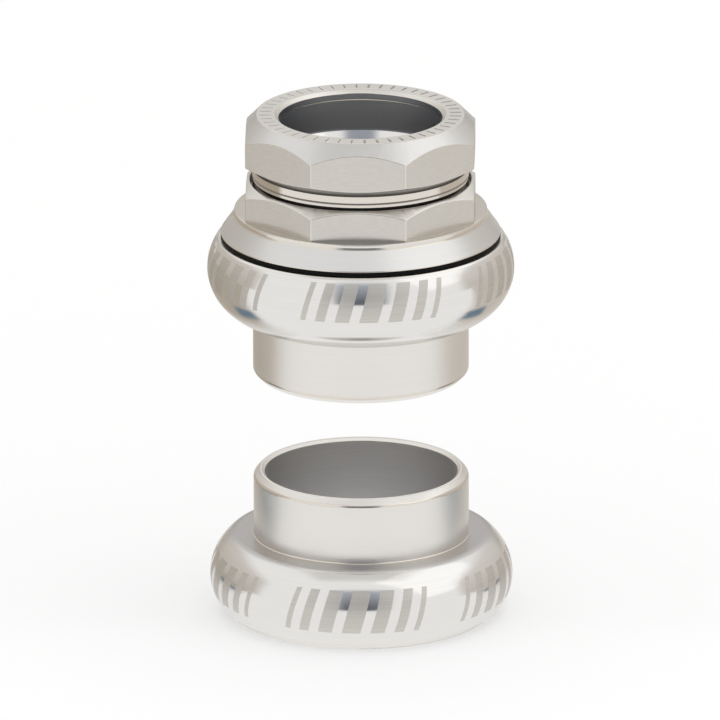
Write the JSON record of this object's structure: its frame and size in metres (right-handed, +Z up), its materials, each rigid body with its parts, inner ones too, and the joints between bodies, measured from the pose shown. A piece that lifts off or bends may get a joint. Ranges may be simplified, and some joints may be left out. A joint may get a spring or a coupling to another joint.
{
  "type": "bicycle headset",
  "caption": "Threaded bicycle headset: two polished bearing cups with press-fit skirts, a crown race plate, a bearing cap nut with a rubber seal, and a lock nut that drives a split collet.",
  "frame": {"origin": "centre of the crown race plate's underside, where it rests on the fork crown", "axes": "+Z up along the steering axis, from the fork crown to the lock nut; the nuts' flats are square to X and Y"},
  "size_m": [0.0484, 0.0484, 0.082],
  "materials": {
    "silver": "satin anodised",
    "bearing_steel": "ground and polished",
    "spring_steel": "plain",
    "seal_rubber": "matt moulded",
    "cage_plastic": "moulded nylon"
  },
  "bodies": {
    "cups": {"lower_cup": "silver", "lower_outer_ring": "bearing_steel", "lower_outboard_seal": "seal_rubber", "lower_inboard_seal": "seal_rubber", "lower_snap_ring": "spring_steel", "upper_cup": "silver", "upper_outer_ring": "bearing_steel", "upper_outboard_seal": "seal_rubber", "upper_inboard_seal": "seal_rubber", "upper_snap_ring": "spring_steel"},
    "upper_turning": {"bearing_cap": "silver", "cap_seal": "seal_rubber", "upper_inner_ring": "bearing_steel"},
    "upper_cage": {"upper_balls": "bearing_steel", "upper_ball_cage": "cage_plastic"},
    "collet": {"grip_collet": "silver"},
    "top_nut": {"lock_nut": "silver"},
    "lower_turning": {"crown_race_plate": "silver", "lower_inner_ring": "bearing_steel"},
    "lower_cage": {"lower_balls": "bearing_steel", "lower_ball_cage": "cage_plastic"}
  },
  "joints": [
    {"name": "upper_steering", "type": "hinge", "parent": "cups", "child": "upper_turning", "pos_m": [0, 0, 0.0575], "axis": [0, 0, 1], "continuous": true},
    {"name": "upper_cage_turn", "type": "hinge", "parent": "cups", "child": "upper_cage", "pos_m": [0, 0, 0.0575], "axis": [0, 0, 1], "continuous": true},
    {"name": "collet_travel", "type": "slide", "parent": "upper_turning", "child": "collet", "axis": [0, 0, 1], "range_m": [-0.0015, 0.003]},
    {"name": "lock_nut_turn", "type": "hinge", "parent": "collet", "child": "top_nut", "pos_m": [0, 0, 0.078], "axis": [0, 0, 1], "range_deg": [-540, 1080]},
    {"name": "lower_steering", "type": "hinge", "parent": "cups", "child": "lower_turning", "pos_m": [0, 0, 0.0057], "axis": [0, 0, 1], "continuous": true},
    {"name": "lower_cage_turn", "type": "hinge", "parent": "cups", "child": "lower_cage", "pos_m": [0, 0, 0.0057], "axis": [0, 0, 1], "continuous": true}
  ],
  "couplings": [
    {"joint": "upper_cage_turn", "follows": "upper_steering", "ratio": 0.456},
    {"joint": "lower_cage_turn", "follows": "lower_steering", "ratio": 0.456},
    {"joint": "collet_travel", "follows": "lock_nut_turn", "m_per_rad": 0.00015915}
  ]
}
